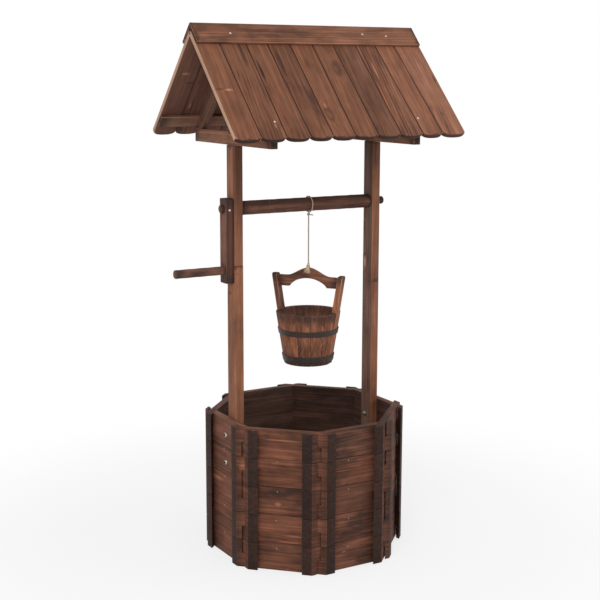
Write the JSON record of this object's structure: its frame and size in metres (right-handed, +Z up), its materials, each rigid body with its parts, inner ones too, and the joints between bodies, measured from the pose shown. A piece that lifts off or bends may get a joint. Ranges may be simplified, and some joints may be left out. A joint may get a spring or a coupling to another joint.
{
  "type": "wishing well planter",
  "caption": "Wooden wishing well planter: an octagonal well of stacked planks, a gabled plank roof on two posts, and a cranked windlass that lifts a hanging bucket.",
  "frame": {"origin": "middle of the bounding box's bottom face, on the ground", "axes": "+Z up, X along the ridge, -Y the front"},
  "size_m": [0.6086, 0.43, 1.1708],
  "materials": {
    "roof_wood": "stained brown roof planks, satin",
    "cap_wood": "stained brown ridge boards, satin",
    "frame_wood": "dark stained battens and rafters",
    "post_wood": "scorched red-brown softwood posts",
    "well_wood": "scorched dark brown planks",
    "windlass_wood": "scorched dark brown, turned",
    "bucket_wood": "scorched red-brown staves",
    "twine": "frayed jute",
    "hoop_metal": "dull dark brown bands",
    "bolt_steel": "zinc-plated"
  },
  "bodies": {
    "well": {"wall_front": "well_wood", "wall_front_right": "well_wood", "wall_right": "well_wood", "wall_back_right": "well_wood", "wall_back": "well_wood", "wall_back_left": "well_wood", "wall_left": "well_wood", "wall_front_left": "well_wood", "post_left_lower": "post_wood", "post_left_upper": "post_wood", "tie_beam_left": "frame_wood", "bolt_left_upper": "bolt_steel", "bolt_left_lower": "bolt_steel", "rafter_front_left": "frame_wood", "rafter_back_left": "frame_wood", "post_right_lower": "post_wood", "post_right_upper": "post_wood", "tie_beam_right": "frame_wood", "bolt_right_upper": "bolt_steel", "bolt_right_lower": "bolt_steel", "rafter_front_right": "frame_wood", "rafter_back_right": "frame_wood", "ridge_cap_front": "cap_wood", "eave_batten_front": "frame_wood", "roof_front_plank_01": "roof_wood", "roof_front_plank_02": "roof_wood", "roof_front_plank_03": "roof_wood", "roof_front_plank_04": "roof_wood", "roof_front_plank_05": "roof_wood", "roof_front_plank_06": "roof_wood", "roof_front_plank_07": "roof_wood", "roof_front_plank_08": "roof_wood", "roof_front_plank_09": "roof_wood", "roof_front_plank_10": "roof_wood", "ridge_cap_back": "cap_wood", "eave_batten_back": "frame_wood", "roof_back_plank_01": "roof_wood", "roof_back_plank_02": "roof_wood", "roof_back_plank_03": "roof_wood", "roof_back_plank_04": "roof_wood", "roof_back_plank_05": "roof_wood", "roof_back_plank_06": "roof_wood", "roof_back_plank_07": "roof_wood", "roof_back_plank_08": "roof_wood", "roof_back_plank_09": "roof_wood", "roof_back_plank_10": "roof_wood"},
    "windlass": {"windlass_roller": "windlass_wood", "crank_arm": "windlass_wood", "crank_handle": "windlass_wood", "rope_loop": "twine"},
    "hanging_rope": {"rope_drop": "twine"},
    "hitch": {"rope_hitch": "twine"},
    "bucket": {"bucket_staves": "bucket_wood", "bucket_base": "bucket_wood", "bucket_arch_board": "bucket_wood", "bucket_ear_left": "bucket_wood", "bucket_ear_right": "bucket_wood", "bucket_hoop_lower": "hoop_metal", "bucket_hoop_upper": "hoop_metal"}
  },
  "joints": [
    {"name": "windlass_turn", "type": "hinge", "parent": "well", "child": "windlass", "pos_m": [0.01745, 0, 0.781], "axis": [1, 0, 0], "range_deg": [0, 300]},
    {"name": "rope_swing", "type": "hinge", "parent": "well", "child": "hanging_rope", "pos_m": [0.02595, 0, 0.7577], "axis": [1, 0, 0], "range_deg": [-20, 20]},
    {"name": "bucket_lift", "type": "slide", "parent": "hanging_rope", "child": "hitch", "axis": [0, 0, 1], "range_m": [0, 0.0905], "deforming": ["rope_drop"]},
    {"name": "bucket_rock", "type": "hinge", "parent": "hitch", "child": "bucket", "pos_m": [0.02595, 0, 0.627], "axis": [0.788, 0.6157, 0], "range_deg": [-15, 15]}
  ],
  "couplings": [
    {"joint": "bucket_lift", "follows": "windlass_turn", "m_per_rad": 0.0172}
  ]
}
